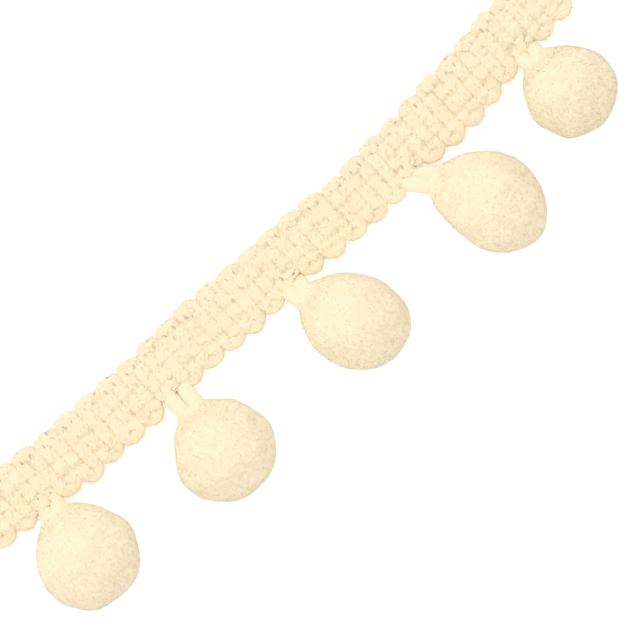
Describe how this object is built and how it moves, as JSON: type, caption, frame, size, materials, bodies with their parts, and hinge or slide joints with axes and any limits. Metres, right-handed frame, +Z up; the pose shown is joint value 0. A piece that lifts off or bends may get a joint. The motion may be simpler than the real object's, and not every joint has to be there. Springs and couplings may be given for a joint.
{
  "type": "pompom fringe trim",
  "caption": "Crocheted braid with scalloped edges and soft cut pile pompoms on short yarn loops along one edge, lying flat, face up.",
  "frame": {"origin": "middle of the heading's underside, where its centreline crosses the middle of the cut length", "axes": "+X along the heading, pompoms hang towards -Y, +Z up out of the trim's face"},
  "size_m": [0.127, 0.0331, 0.0142],
  "materials": {
    "heading_yarn": "soft ivory yarn, matt, crocheted in a zigzag held by chain stitches",
    "loop_yarn": "loose bundle of soft ivory yarn, matt",
    "cut_pile": "dense ivory cut pile with a velvety nap"
  },
  "bodies": {
    "root": {"heading": "heading_yarn", "hanger_1": "loop_yarn", "hanger_2": "loop_yarn", "hanger_3": "loop_yarn", "hanger_4": "loop_yarn", "hanger_5": "loop_yarn", "pompom_1": "cut_pile", "pompom_2": "cut_pile", "pompom_3": "cut_pile", "pompom_4": "cut_pile", "pompom_5": "cut_pile"}
  },
  "joints": []
}
